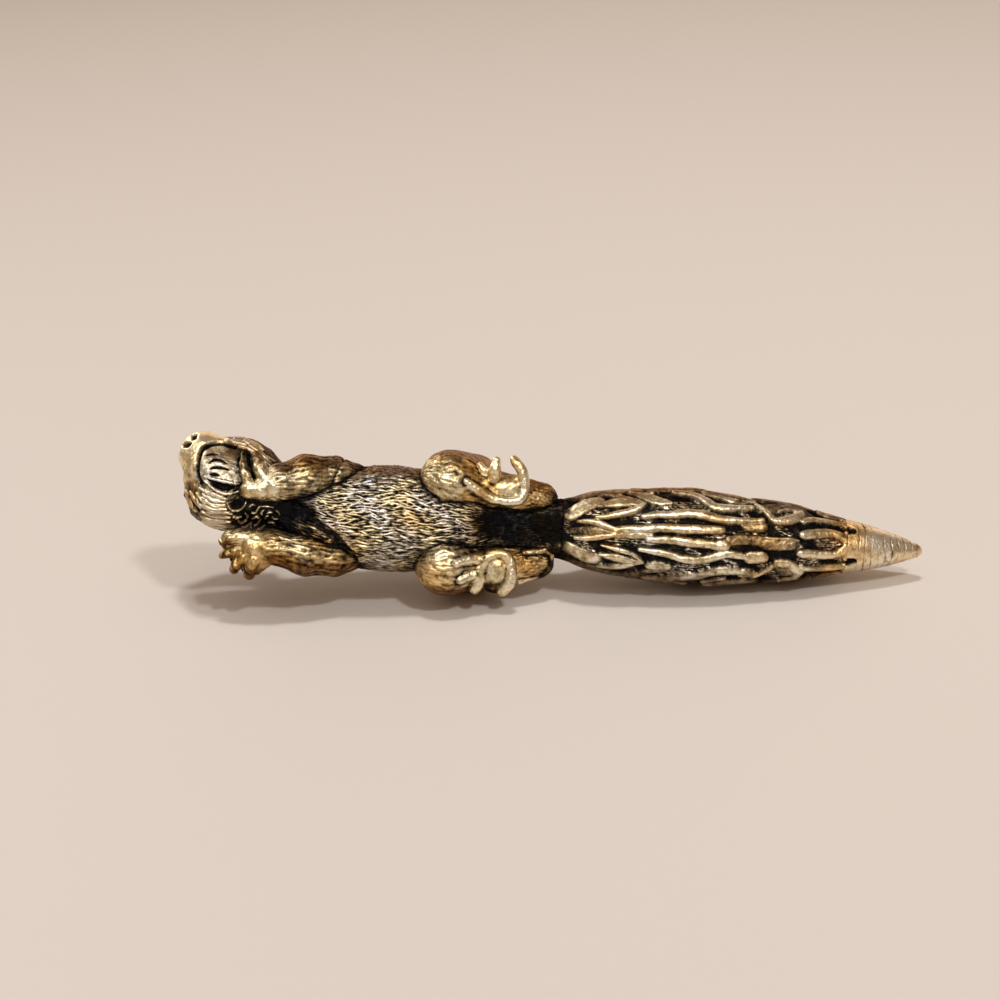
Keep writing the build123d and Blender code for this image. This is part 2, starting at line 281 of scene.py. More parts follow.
rightArm = {
    "arm": (
        (-21.4, -3.8, 1.0, 1.6), (-24.2, -4.3, 1.9, 2.15), (-27.2, -4.4, 2.8, 2.15), (-30.6, -3.75, 3.7, 1.75),
        (-32.7, -3.75, 3.8, 1.5),
    ),
    "fingers": (
        ((-32.4, -3.0, 4.0, 1.0), (-34.0, -2.85, 4.1, 0.85), (-35.2, -2.95, 4.1, 0.8), (-35.9, -3.4, 4.0, 0.54)),
        ((-33.2, -4.0, 4.0, 0.7), (-34.5, -4.3, 4.2, 0.52), (-35.4, -4.7, 4.1, 0.5), (-35.9, -4.9, 3.9, 0.42)),
        ((-32.7, -4.1, 4.0, 0.75), (-33.6, -4.9, 4.2, 0.6), (-34.3, -5.8, 4.0, 0.6), (-34.6, -6.3, 3.8, 0.55)),
        ((-31.9, -4.0, 4.0, 0.95), (-32.4, -5.0, 4.3, 0.78), (-32.8, -6.0, 4.1, 0.74), (-33.0, -6.7, 3.8, 0.64)),
        ((-30.6, -4.1, 3.8, 1.0), (-31.3, -5.2, 3.9, 0.7), (-32.2, -6.3, 3.8, 0.5)),
    ),
    "shadeSheet": (
        ((-32.4, -3.7, 3.0, 1.2), (-35.5, -3.85, 3.4, 0.62)), ((-32.6, -4.3, 3.0, 1.1), (-34.7, -5.2, 3.3, 0.55)),
        ((-31.8, -4.4, 3.0, 1.1), (-33.5, -6.1, 3.2, 0.55)),
    ),
    "crease": -99.0,
    "outer": (0.0, -0.55),
    "brown": 0.95,
    "furDepth": 0.15,
}


def handField(points, arm):
    field = chainField(points, arm["arm"], 0.6)
    for finger in arm["fingers"]:
        field = blendMin(field, chainField(points, finger), 0.15)
    return field


def armField(points, arm):
    field = handField(points, arm)
    # dark sheets behind the fingers, standing in for the shade between them
    for shadeSheet in arm["shadeSheet"]:
        field = np.minimum(field, chainField(points, shadeSheet))
    return field


# Hind legs: haunch and shin with the hock, then the foot's cup, its rim and its toes
leftLeg = {
    "leg": (
        ((-9.9, 4.4, -2.2, 3.2), (-12.3, 4.5, 2.1, 3.3)),
        ((-11.8, 4.3, 1.9, 2.95), (-8.6, 3.7, 1.7, 2.4), (-2.5, 3.05, 0.4, 1.85)),
    ),
    "cup": ((-8.4, 3.9, 3.1, 1.0), (-7.0, 3.9, 2.9, 1.35), (-5.6, 4.2, 2.9, 1.35)),
    "rims": (
        ((-10.5, 4.45, 4.9, 0.3), (-9.2, 3.55, 4.4, 0.48), (-7.8, 2.85, 4.1, 0.5), (-6.2, 2.65, 3.9, 0.5),
         (-5.0, 2.75, 3.8, 0.5), (-4.4, 3.4, 3.7, 0.5), (-4.4, 4.8, 3.7, 0.52), (-4.7, 5.9, 3.8, 0.54),
         (-5.3, 6.7, 3.8, 0.52), (-5.7, 7.2, 3.6, 0.36)),
        ((-7.4, 3.8, 3.2, 0.7), (-7.6, 4.9, 3.6, 0.66), (-7.6, 6.0, 3.9, 0.62), (-7.5, 6.9, 3.8, 0.46)),
        ((-8.3, 4.9, 3.3, 0.45), (-8.8, 5.8, 3.5, 0.42), (-9.2, 6.3, 3.4, 0.32)),
        ((-5.4, 5.0, 3.4, 0.25), (-5.0, 4.1, 3.6, 0.25), (-5.2, 3.1, 3.6, 0.25)),
    ),
    "furDepth": 0.08,
    "gold": 0.75,
}
rightLeg = {
    "leg": (
        ((-9.9, -4.4, -2.2, 3.2), (-12.3, -4.55, 2.1, 3.3)),
        ((-11.8, -4.4, 1.9, 2.95), (-8.6, -4.4, 1.7, 2.4), (-2.5, -3.7, 0.4, 1.85)),
    ),
    "cup": ((-6.8, -4.2, 2.7, 1.6), (-7.0, -5.2, 2.5, 1.5), (-7.0, -6.0, 2.0, 1.3)),
    "rims": (
        ((-9.0, -6.9, 3.2, 0.55), (-8.6, -6.3, 3.5, 0.56), (-8.6, -5.2, 3.7, 0.54), (-8.3, -4.0, 3.8, 0.54),
         (-7.5, -3.2, 3.8, 0.54), (-6.5, -2.95, 3.8, 0.54), (-5.6, -3.4, 3.8, 0.54), (-5.2, -4.6, 3.7, 0.54),
         (-5.3, -6.0, 3.5, 0.56), (-6.0, -7.0, 3.2, 0.56)),
        ((-8.4, -3.6, 3.7, 0.7), (-9.8, -3.8, 4.4, 0.52), (-11.0, -4.2, 5.1, 0.38)),
        ((-8.7, -5.1, 3.6, 0.55), (-9.8, -5.6, 4.2, 0.45), (-10.5, -6.0, 4.5, 0.46)),
        ((-3.9, -2.8, 2.1, 0.34), (-1.7, -2.4, 1.5, 0.28), (-0.9, -2.9, 1.2, 0.28), (-1.4, -4.3, 1.2, 0.28),
         (-2.5, -5.2, 1.1, 0.28), (-4.2, -5.9, 1.5, 0.32)),
    ),
    "furDepth": 0.1,
    "gold": 0.4,
}


def finer(stations):
    # three times as many stations, on smooth curves through the given ones
    places = np.arange(len(stations))
    steps = np.linspace(0, len(stations) - 1, 3 * (len(stations) - 1) + 1)
    return np.stack([curveThrough(steps, places, [s[k] for s in stations]) for k in range(4)], 1)


for leg in (leftLeg, rightLeg):
    leg["rims"] = (finer(leg["rims"][0]), *leg["rims"][1:])


def shankField(points, leg):
    return blendMin(chainField(points, leg["leg"][0]), chainField(points, leg["leg"][1], 0.5), 0.8)


def footField(points, leg):
    field = chainField(points, leg["cup"])
    for rim in leg["rims"]:
        field = blendMin(field, chainField(points, rim, 0.15), 0.4)
    return field


def legField(points, leg):
    return blendMin(shankField(points, leg), footField(points, leg), 0.2)


# Tail: outline of the plume along the axis, the depth of its carving and the radius at which that is
# drawn, then the tip with two slots that run into it
tail = {
    "x": (0.0, 1.5, 4.2, 8.5, 13.8, 17.0, 20.3, 23.5, 25.7, 28.0, 30.5),
    "radius": (3.3, 3.9, 4.6, 4.95, 5.3, 5.2, 4.8, 4.6, 4.25, 3.6, 3.05),
    "carving": 0.7,
    "drawnRadius": 5.0,
}
tip = {
    "start": 30.5,
    "length": 8.6,
    "baseRadius": 2.95,
    "endRadius": 0.5,
    "belly": 0.3,
    "grooves": 11.5,
    "grooveDepth": 0.07,
    "slotHalfWidth": 0.5,
    "slotDepth": 0.5,
    "drawnRadius": 3.0,
    "slots": (((29.4, 1.95), (30.3, 1.95), (31.1, 1.9)), ((29.4, -1.85), (30.3, -1.82), (31.3, -1.75))),
}


def tailField(points):
    x = np.clip(points[:, 0], 0, tail["x"][-1])
    radius = curveThrough(x, tail["x"], tail["radius"])
    side = np.hypot(points[:, 1], points[:, 2]) - radius
    beyond = points[:, 0] - x
    return np.where(beyond == 0, side, np.sqrt(np.maximum(side, 0) ** 2 + beyond**2))


fields = {
    "torso": trunkField,
    "head": headField,
    "left_arm": lambda p: armField(p, leftArm),
    "right_arm": lambda p: armField(p, rightArm),
    "left_hind_leg": lambda p: legField(p, leftLeg),
    "right_hind_leg": lambda p: legField(p, rightLeg),
    "tail_plume": tailField,
}


# Gaps in mm within which a piece darkens another with painted shade: by touching it, by crowding it, and at the
# most
touchGap, crowdGap, farGap = 0.28, 1.4, 9.0


def crowding(points, own):
    # from 0 to 1, painted shade for how hemmed in each point is: near one other piece, or less near several
    nearest, crowd = np.full(len(points), farGap), np.zeros(len(points))
    for name, field in fields.items():
        if name != own:
            gap = np.clip(field(points), 0, farGap)
            nearest = np.minimum(nearest, gap)
            crowd += np.exp(-gap / crowdGap)
    return np.clip(np.maximum(np.exp(-nearest / touchGap), 1.1 * (crowd - 0.62)), 0, 1)


# Deep hollows on the belly side, as middle and half size in x and y: under the chin, and between the legs. They
# get painted shade, and on the trunk also a dent
hollows = (((-29.0, -0.4), (2.9, 1.8)), ((-3.2, 0.0), (6.2, 4.6)))


def hollowed(points):
    # from 0 to 1 towards the middle of a hollow, used as painted shade (and for the trunk's dent)
    depth = np.zeros(len(points))
    for (u, v), (halfLength, halfWidth) in hollows:
        reach = np.hypot((points[:, 0] - u) / halfLength, (points[:, 1] - v) / halfWidth)
        depth = np.maximum(depth, smoothStep(1.2, 0.7, reach))
    return depth * smoothStep(0.0, 1.0, points[:, 2])


def gradientOf(field, points, step=0.02):
    parts = []
    for axis in range(3):
        shift = np.zeros(3)
        shift[axis] = step
        parts.append((field(points + shift) - field(points - shift)) / (2 * step))
    return np.stack(parts, 1)


def neighbours(axis, rest=slice(None)):
    # slices that pair each entry of a lattice with the next one along an axis
    near, far = [rest] * 3, [rest] * 3
    near[axis], far[axis] = slice(0, -1), slice(1, None)
    return tuple(near), tuple(far)


def netSurface(field, low, high, step):
    # Skin of a field on a cubic lattice: one point in each cell that the zero level crosses, at the
    # mean of its edge crossings, and one quad round each crossed lattice edge. It is then slid to zero.
    # Far from the skin, one lattice point in each stride stands for its neighbours.
    stride, band = 4, 7 * step
    axes = [np.arange(a, b + step, step) for a, b in zip(low, high)]
    shape = tuple(len(a) for a in axes)
    lattice = np.stack(np.meshgrid(*axes, indexing="ij"), -1).reshape(-1, 3)
    coarse = field(lattice.reshape(shape + (3,))[::stride, ::stride, ::stride].reshape(-1, 3))
    value = coarse.reshape([-(-n // stride) for n in shape])
    for axis in range(3):
        value = np.repeat(value, stride, axis).take(np.arange(shape[axis]), axis)
    close = np.abs(value) < band
    value[close] = field(lattice[close.ravel()])
    inside = value < 0
    cells = tuple(n - 1 for n in shape)
    total, count = np.zeros(cells + (3,)), np.zeros(cells)
    for axis in range(3):
        near, far = neighbours(axis)
        a, b = value[near], value[far]
        cross = (a < 0) != (b < 0)
        share = np.where(cross, a / np.where(cross, a - b, 1), 0)
        others = [k for k in range(3) if k != axis]
        for i in (0, 1):
            for j in (0, 1):
                cut = [slice(None)] * 3
                cut[others[0]] = slice(i, i + cells[others[0]])
                cut[others[1]] = slice(j, j + cells[others[1]])
                hit = cross[tuple(cut)]
                place = np.zeros(cells + (3,))
                place[..., axis] = share[tuple(cut)]
                place[..., others[0]], place[..., others[1]] = i, j
                total += place * hit[..., None]
                count += hit
    used = count > 0
    number = np.full(cells, -1)
    number[used] = np.arange(used.sum())
    corner = np.stack(np.nonzero(used), 1)
    points = (corner + total[used] / count[used][:, None]) * step + np.array([a[0] for a in axes])
    quads = []
    for axis in range(3):
        u, v = (axis + 1) % 3, (axis + 2) % 3
        near, far = neighbours(axis, slice(1, -1))
        a, b = inside[near], inside[far]
        place = np.stack(np.nonzero(a != b), 1)
        out = a[a != b]
        base = place + 1
        base[:, axis] -= 1
        ring = []
        for du, dv in ((0, 0), (1, 0), (1, 1), (0, 1)):
            cell = base.copy()
            cell[:, u] -= 1 - du
            cell[:, v] -= 1 - dv
            ring.append(number[tuple(cell.T)])
        ring = np.stack(ring, 1)
        ring[~out] = ring[~out][:, ::-1]
        quads.append(ring)
    for _ in range(3):
        slope = gradientOf(field, points)
        points = points - slope * (field(points) / np.maximum((slope**2).sum(1), 0.2))[:, None]
    return points, np.concatenate(quads)


def tubeGrid(low, high, rows, columns, start=0.0):
    # a grid's values along the axis and its turns round it
    along = np.linspace(low, high, rows)[:, None] + np.zeros((1, columns))
    turn = np.linspace(start, start + 2 * np.pi, columns, endpoint=False)[None, :] + np.zeros((rows, 1))
    return along, turn


def tubePoints(x, y, z, poles):
    # the grid's points in one list, then the pole that closes each end
    return np.concatenate([np.stack([x, y, z], -1).reshape(-1, 3), poles])


def withPoles(grid, pole=0):
    # the grid's values in one list, then the two poles'
    return np.append(grid.ravel(), (pole, pole))


def tubeFaces(rows, columns):
    # quads of a grid that closes round its columns, and a fan to a pole at each end
    i, j = np.meshgrid(np.arange(rows - 1), np.arange(columns), indexing="ij")
    k = (j + 1) % columns
    quads = np.stack([i * columns + j, i * columns + k, (i + 1) * columns + k, (i + 1) * columns + j], -1)
    ring = np.arange(columns)
    following = (ring + 1) % columns
    first, last = rows * columns, rows * columns + 1
    start = np.stack([np.full(columns, first), following, ring], 1)
    end = np.stack([np.full(columns, last), (rows - 1) * columns + ring, (rows - 1) * columns + following], 1)
    return quads.reshape(-1, 4), np.concatenate([start, end])


def makePiece(name, node, points, quads, triangles=None, **measures):
    # a mesh from arrays, with one attribute per measure
    triangles = np.zeros((0, 3), int) if triangles is None else triangles
    mesh = bpy.data.meshes.new(name)
    mesh.vertices.add(len(points))
    mesh.vertices.foreach_set("co", rowPoints(points).astype(np.float32).ravel())
    loops = np.concatenate([quads.ravel(), triangles.ravel()]).astype(np.int32)
    sizes = np.concatenate([np.full(len(quads), 4), np.full(len(triangles), 3)])
    mesh.loops.add(len(loops))
    mesh.loops.foreach_set("vertex_index", loops)
    mesh.polygons.add(len(sizes))
    mesh.polygons.foreach_set("loop_start", (np.cumsum(sizes) - sizes).astype(np.int32))
    mesh.polygons.foreach_set("use_smooth", np.ones(len(sizes), bool))
    mesh.update(calc_edges=True)
    mesh.validate()
    for key, value in measures.items():
        mesh.attributes.new(key, "FLOAT", "POINT").data.foreach_set("value", value.astype(np.float32))
    piece = bpy.data.objects.new(name, mesh)
    bpy.context.scene.collection.objects.link(piece)
    piece.data.materials.append(brass)
    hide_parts(node)
    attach(piece, "root")
    print(name, len(points), "points")


# Old brass: dark skin in the hollows, worn metal on what stands out; the brightness also carries painted shade,
# painted glints and a painted brown reflection
brass = bpy.data.materials.new("oldBrass")
brass.use_nodes = True
nodes, links = brass.node_tree.nodes, brass.node_tree.links
skin = nodes["Principled BSDF"]


def attributeNode(name):
    node = nodes.new("ShaderNodeAttribute")
    node.attribute_name = name
    return node.outputs["Fac"]


def mathNode(operation, a, b):
    node = nodes.new("ShaderNodeMath")
    node.operation = operation
    for socket, value in zip(node.inputs, (a, b)):
        if isinstance(value, (int, float)):
            socket.default_value = value
        else:
            links.new(value, socket)
    return node.outputs[0]


def noiseNode(scale, detail):
    node = nodes.new("ShaderNodeTexNoise")
    node.inputs["Scale"].default_value = scale
    node.inputs["Detail"].default_value = detail
    links.new(place.outputs["Object"], node.inputs["Vector"])
    return node.outputs["Fac"]


place = nodes.new("ShaderNodeTexCoord")
blotch, grain, pits = noiseNode(350, 4), noiseNode(1500, 5), noiseNode(4500, 3)
# painted shade: the shade attribute darkens the metal between crowded parts and in hollows, as a shadow would
kept = mathNode("SUBTRACT", 1.0, mathNode("MULTIPLY", attributeNode("shade"), 0.85))
wearAndShade = mathNode("MULTIPLY", attributeNode("relief"), kept)
for noise, weight in ((blotch, 0.5), (grain, 0.9), (pits, 0.45)):
    wearAndShade = mathNode("ADD", wearAndShade, mathNode("MULTIPLY", mathNode("SUBTRACT", noise, 0.5), weight))
ramp = nodes.new("ShaderNodeValToRGB")
stops = ramp.color_ramp.elements
stops[0].position, stops[0].color = 0.16, (0.01, 0.01, 0.011, 1)
stops[1].position, stops[1].color = 0.92, (0.88, 0.78, 0.53, 1)
for position, colour in (
    (0.36, (0.07, 0.055, 0.035, 1)),
    (0.6, (0.38, 0.295, 0.16, 1)),
    (0.78, (0.64, 0.53, 0.3, 1)),
):
    stops.new(position).color = colour
links.new(wearAndShade, ramp.inputs["Fac"])


def tinted(colour, factor, tint):
    # the colour multiplied by a tint, by the factor's share
    node = nodes.new("ShaderNodeMix")
    node.data_type, node.blend_type = "RGBA", "MULTIPLY"
    node.inputs[7].default_value = tint
    links.new(factor, node.inputs[0])
    links.new(colour, node.inputs[6])
    return node.outputs[2]


tone, gilt = noiseNode(170, 2), attributeNode("gold")
warm = mathNode("ADD", mathNode("MULTIPLY", mathNode("SUBTRACT", 0.51, tone), 4.0), gilt)
pale = mathNode("SUBTRACT", mathNode("MULTIPLY", mathNode("SUBTRACT", tone, 0.52), 4.0), gilt)
colour = ramp.outputs["Color"]
# tints: random warm and pale tone; painted silver-blue glints and sheen (cool) on the brighter metal, a plain
# cooler hue in places; a painted brown reflection (brown)
for factor, tint in (
    (warm, (1.0, 0.75, 0.44, 1)),
    (pale, (0.98, 1.04, 1.25, 1)),
    (mathNode("MULTIPLY", attributeNode("cool"), wearAndShade), (0.97, 1.08, 1.6, 1)),
    (attributeNode("brown"), (0.34, 0.22, 0.15, 1)),
):
    colour = tinted(colour, factor, tint)
links.new(colour, skin.inputs["Base Color"])
polish = nodes.new("ShaderNodeMapRange")
for socket, value in (("From Min", 0.2), ("From Max", 0.85), ("To Min", 0.55), ("To Max", 0.33)):
    polish.inputs[socket].default_value = value
links.new(wearAndShade, polish.inputs["Value"])
links.new(polish.outputs["Result"], skin.inputs["Roughness"])
skin.inputs["Metallic"].default_value = 1.0
bump = nodes.new("ShaderNodeBump")
bump.inputs["Strength"].default_value = 0.8
bump.inputs["Distance"].default_value = 0.0001
links.new(mathNode("ADD", grain, mathNode("MULTIPLY", pits, 0.5)), bump.inputs["Height"])
links.new(bump.outputs["Normal"], skin.inputs["Normal"])
print("material made")

# Rings and points a ring of the trunk's and the plume's skins, and lattice step of the other skins in mm
tubeCells = (316, 312)
skinStep = 0.085

# Trunk skin: rings along the axis, with more points on the belly side, each point at the section's radius
# plus the fur's height
x, turn = tubeGrid(trunk["x"][0], trunk["x"][-1], *tubeCells)
turn = turn + 0.4 * np.cos(turn)
round60 = (turn * 60 / (2 * np.pi)).ravel()
bend = 0.25 * np.sin(x * 1.3 + 2 * np.sin(turn * 3)).ravel()
fur = furStrokes(x.ravel(), round60 + bend, (1.25, 0.6), 100, lean=0.6).reshape(x.shape)
fine = furStrokes(x.ravel() + 0.4, round60 * 2 - 2 * bend, (0.8, 1.0), 120, lean=1.1, salt=9)
fur = np.maximum(fur, 0.85 * fine.reshape(x.shape))
widest, deepest = max(trunk["halfWidth"]), max(trunk["halfDepth"])
level = np.stack([x, widest * np.cos(turn), deepest * np.sin(turn)], -1).reshape(-1, 3)
# deep: the hollows, dented in and used below as painted shade
deep = hollowed(level).reshape(x.shape)
lift = trunk["furDepth"] * (1.5 * fur - 0.75) - trunk["hollowDepth"] * deep
middleY, middleZ, halfWidth, halfDepth = trunkSections(x)
y = middleY + (halfWidth + lift) * np.cos(turn)
z = middleZ + (halfDepth + lift) * np.sin(turn)
points = tubePoints(x, y, z, ((trunk["x"][0] - 0.01, trunk["left"][0], 0), (0.01, 0, 0)))
fold = roundStroke(*drawnAt(points), trunk["fold"], 0.6, 0.6) * smoothStep(0.0, 1.0, points[:, 2])
points[:, 1:] *= (1 - trunk["foldShare"] * fold)[:, None]
quads, fans = tubeFaces(*tubeCells)
relief = withPoles(1.6 * fur - 0.36)
# painted shade: where other parts crowd the trunk, along the fold behind the foreleg, and in the hollows
shade = np.maximum(np.maximum(crowding(points, "torso"), 0.85 * fold), withPoles(deep, 1))
# painted silver-blue glints in wavy patches on the belly
cool = smoothStep(0.2, 0.75, 0.5 + 0.5 * np.sin(0.9 * points[:, 0] + 2 * np.sin(0.7 * points[:, 1])))
# painted brown reflection on the trunk's left side and less on its right, which also lifts their brightness
edge = withPoles(np.cos(turn))
brown = 0.95 * smoothStep(0.72, 0.9, edge) + 0.6 * smoothStep(-0.75, -0.95, edge)
makePiece(
    "torsoSkin", "torso", points, quads, fans,
    relief=relief + 0.25 * brown, shade=shade, cool=cool, brown=brown,
)


def boxRound(chains):
    # corners of a box round chains of stations, with some room
    stations = np.array([station for chain in chains for station in chain])
    middles, radii = stations[:, :3], stations[:, 3:]
    return (middles - radii).min(0) - 0.5, (middles + radii).max(0) + 0.5


def surfaceOf(field, low, high):
    points, quads = netSurface(field, low, high, skinStep)
    normal = gradientOf(field, points)
    return points, quads, normal / np.linalg.norm(normal, axis=1)[:, None]


def limbFlow(points, start, end, radius):
    # along a limb's line, and round it in millimetres at a mean radius
    start, core = np.array(start, float), unit(np.array(end) - np.array(start))
    side = unit(np.cross(core, (0.2, 0.3, 1.0)))
    offset = points - start
    return offset @ core, np.arctan2(offset @ np.cross(core, side), offset @ side) * radius


# Head: fur runs round it in rings seen from the front, and from muzzle to nape behind. The marks are
# drawn on the throat side in x and y: the mouth's line with its reach at some turns about the chin's
# middle, nostrils, lids and their slit, creases, locks, hairs, a curl round a hole, and wisps
face = {
    "mouthDepth": 0.5,
    "markHeight": 0.24,
    "cutDepth": 0.36,
    "middle": (-36.4, 3.4),
    "mouthReach": ((1.6, 2.2, 2.8, 3.4), (3.6, 4.0, 3.6, 3.1)),
    "mouth": (
        (-35.65, 6.72), (-36.37, 6.83), (-37.1, 7.03), (-38.17, 6.84), (-39.04, 6.4), (-39.45, 5.79),
        (-39.62, 4.97), (-39.65, 3.99), (-39.51, 3.19), (-39.21, 2.62),
    ),
    "nostrils": (
        ((-40.28, 7.2), (-40.14, 7.42), (-39.97, 7.62)), ((-41.2, 6.4), (-40.85, 6.56), (-40.48, 6.72)),
    ),
    "slit": ((-38.52, 3.02), (-37.6, 2.6), (-36.8, 2.28), (-36.05, 2.24), (-35.4, 2.42)),
    "lids": (
        ((-38.75, 3.3), (-37.75, 3.08), (-36.85, 2.92), (-35.94, 2.8), (-35.04, 2.74)),
        ((-38.73, 2.83), (-37.88, 2.16), (-36.96, 1.68), (-35.96, 1.61), (-34.91, 2.03)),
    ),
    "creases": (
        ((-38.4, 4.78), (-37.89, 5.15), (-37.17, 5.15), (-36.52, 4.81)),
        ((-38.27, 4.16), (-37.66, 4.36), (-36.94, 4.33), (-36.21, 4.18)),
        ((-38.28, 3.53), (-37.79, 3.61), (-37.25, 3.52)), ((-35.14, 5.7), (-35.14, 4.98), (-34.97, 4.36)),
        ((-34.25, 5.93), (-33.95, 5.41), (-33.82, 4.7)), ((-38.9, 5.56), (-38.1, 5.78), (-37.39, 5.81)),
    ),
    "locks": (
        ((-39.26, 2.04), (-38.3, 1.6), (-37.2, 1.26), (-36.2, 1.01)),
        ((-38.8, 0.99), (-37.95, 0.32), (-37.31, 0.18), (-36.33, 0.33)),
        ((-38.61, -0.62), (-37.72, -0.43), (-36.65, -0.41), (-35.56, -0.52)),
        ((-38.94, -1.0), (-38.03, -1.34), (-36.94, -1.46), (-35.69, -1.42)),
        ((-38.74, -1.43), (-37.63, -1.9), (-36.18, -2.17)), ((-40.27, 1.61), (-39.68, 0.75), (-39.0, -0.1)),
        ((-40.72, 1.68), (-40.19, 0.36), (-39.42, -0.49)), ((-39.54, 1.48), (-38.96, 0.8), (-38.49, 0.38)),
        ((-38.9, 1.4), (-38.1, 0.95), (-37.3, 0.75), (-36.4, 0.7)),
        ((-39.1, 0.3), (-38.2, -0.1), (-37.1, -0.15), (-36.2, -0.05)),
        ((-38.9, -0.45), (-37.9, -0.85), (-36.8, -0.95), (-35.8, -0.9)),
        ((-37.9, -1.75), (-36.8, -1.85), (-35.3, -1.85)),
    ),
    "hairs": (
        ((-35.39, 6.75), (-34.3, 6.6), (-33.37, 6.06), (-32.61, 5.35), (-31.76, 4.78)),
        ((-34.79, 7.32), (-33.59, 6.85), (-32.65, 6.03), (-31.44, 5.34)),
        ((-36.58, 7.31), (-35.5, 7.2), (-34.5, 6.92)), ((-35.9, 7.5), (-34.6, 7.45), (-33.5, 7.1), (-32.6, 6.45)),
        ((-34.2, 6.95), (-33.3, 6.5), (-32.5, 5.75), (-31.7, 5.1)), ((-34.0, 6.2), (-33.2, 5.7), (-32.7, 5.0)),
    ),
    "curl": ((-36.16, 0.48), (-35.77, -0.04), (-35.14, -0.18), (-34.53, 0.13), (-34.17, 0.82)),
    "hole": (-35.18, 0.5, 0.62),
    "wisps": (
        ((-33.51, -0.3), (-33.07, -0.28), (-32.83, 0.28), (-32.57, 0.47)),
        ((-32.48, 0.43), (-31.86, 0.51), (-31.18, 0.42)),
        ((-31.81, -0.25), (-31.55, -0.11), (-31.28, -0.17)), ((-32.04, -0.89), (-31.88, -0.61), (-31.62, -0.5)),
        ((-34.9, -1.2), (-34.52, -1.44), (-34.0, -1.1)), ((-33.41, -1.24), (-33.53, -1.56), (-33.43, -1.91)),
        ((-33.16, -1.63), (-32.82, -1.43), (-32.49, -0.96)), ((-31.67, -1.2), (-31.13, -1.19), (-30.75, -1.53)),
        ((-35.46, -0.83), (-35.0, -0.93), (-34.56, -0.73)), ((-33.39, -0.92), (-32.95, -0.72), (-32.68, -0.79)),
        ((-34.2, -0.4), (-33.9, -0.65), (-33.95, -0.95)), ((-32.2, 0.1), (-32.45, -0.2), (-32.3, -0.5)),
        ((-34.4, -1.9), (-33.95, -1.75), (-33.7, -1.45)), ((-31.3, -0.6), (-31.0, -0.8), (-30.6, -0.75)),
        ((-33.8, 0.3), (-33.5, 0.6), (-33.2, 0.55)), ((-32.0, -1.5), (-32.3, -1.8), (-32.7, -1.95)),
        ((-30.9, 0.1), (-30.6, -0.1), (-30.4, -0.4)),
    ),
}
points, quads, normal = surfaceOf(headField, *head["box"])
x, y = drawnAt(points)
front = smoothStep(0.0, 0.35, normal[:, 2])
offset = points - skull
ringAngle = np.arctan2(offset[:, 1], offset[:, 0])
ringHeight = np.arctan2(offset[:, 2], np.hypot(offset[:, 0], offset[:, 1]))
throatFur = furStrokes(ringAngle * 4.6, ringHeight * 5, (3.0, 0.34), lean=0.1, salt=3)
along, across = limbFlow(points, muzzle, head["nape"], 4.4)
crownFur = furStrokes(along, across, (1.9, 0.55), salt=5)
chin = smoothStep(2.5, 3.0, y) * smoothStep(-33.9, -34.6, x) * front
neck = smoothStep(-35.6, -34.4, x) * smoothStep(1.2, 0.6, y) * front
fur = (0.6 * throatFur * (1 - 0.85 * chin) * (1 - 0.55 * neck) + 0.55 * chin) * front + crownFur * (1 - front)
reach = lineDistance(x, y, face["mouth"])[0]
chinX, chinY = x - face["middle"][0], y - face["middle"][1]
outer = np.hypot(chinX, chinY) - np.interp(np.arctan2(chinY, chinX) % (2 * np.pi), *face["mouthReach"])
capSide = np.where(outer > 0, 1.0, -1.0) * reach
cap = smoothStep(-0.1, 0.15, capSide) * smoothStep(2.6, 3.1, offset @ gaze) * smoothStep(-36.2, -37.0, x)
whisker = (1 - throatFur) * smoothStep(5.4, 3.8, y)
lift = head["furDepth"] * (1.4 * fur - 0.8) * (1 - cap) - 0.06 * whisker * cap
mouthMark = np.exp(-((reach / 0.19) ** 2)) * front
lift += front * cap * 0.14 - face["mouthDepth"] * mouthMark
marks = np.zeros(len(points))
for lines, halfWidth, taper in (
    (face["locks"], 0.24, 0.6),
    ((*face["lids"], *face["hairs"]), 0.18, 0.5),
    ((face["curl"], *face["wisps"]), 0.14, 0.5),
):
    for line in lines:
        marks = np.maximum(marks, roundStroke(x, y, line, halfWidth, taper))
marks = marks * front
cuts = roundStroke(x, y, face["slit"], 0.37, 0.95)
for line in face["creases"]:
    cuts = np.maximum(cuts, 0.75 * roundStroke(x, y, line, 0.17, 0.7))
holeX, holeY, holeRadius = face["hole"]
hole = np.clip(1 - (np.hypot(x - holeX, y - holeY) / holeRadius) ** 2, 0, 1)
cuts = np.maximum(cuts, 0.8 * hole) * front * (1 - marks)
for line in face["nostrils"]:
    stroke = roundStroke(x, y, line, 0.38, 0.5)
    cuts = np.maximum(cuts, 1.1 * stroke**2 * smoothStep(0.0, 0.5, points[:, 2]))
lift += face["markHeight"] * marks - face["cutDepth"] * cuts
rough = castSkin(points, 31.0)
points = points + normal * (lift + 0.05 * rough)[:, None]
relief = 0.12 + 0.12 * rough + 0.95 * fur * (1 - cap) + (0.95 - 0.45 * whisker) * cap
relief = np.clip(relief + 0.65 * marks - cuts - mouthMark, 0, 1)
# painted shade on the head's lower sides, by which way they face, darker and browner; the cheek is a lighter,
# browner patch by the mouth's left end
jowlShade = np.maximum(smoothStep(-0.4, -0.85, normal[:, 0]), smoothStep(-0.3, -0.7, normal[:, 1]))
jowlShade = jowlShade * smoothStep(3.2, 2.2, y)
cheek = smoothStep(-39.0, -39.7, x) * smoothStep(1.2, 2.2, y) * smoothStep(5.2, 4.2, y) * (1 - mouthMark)
relief = relief - 0.12 * jowlShade * (1 - marks) * (1 - cheek) + 0.35 * cheek * (1 - cap)
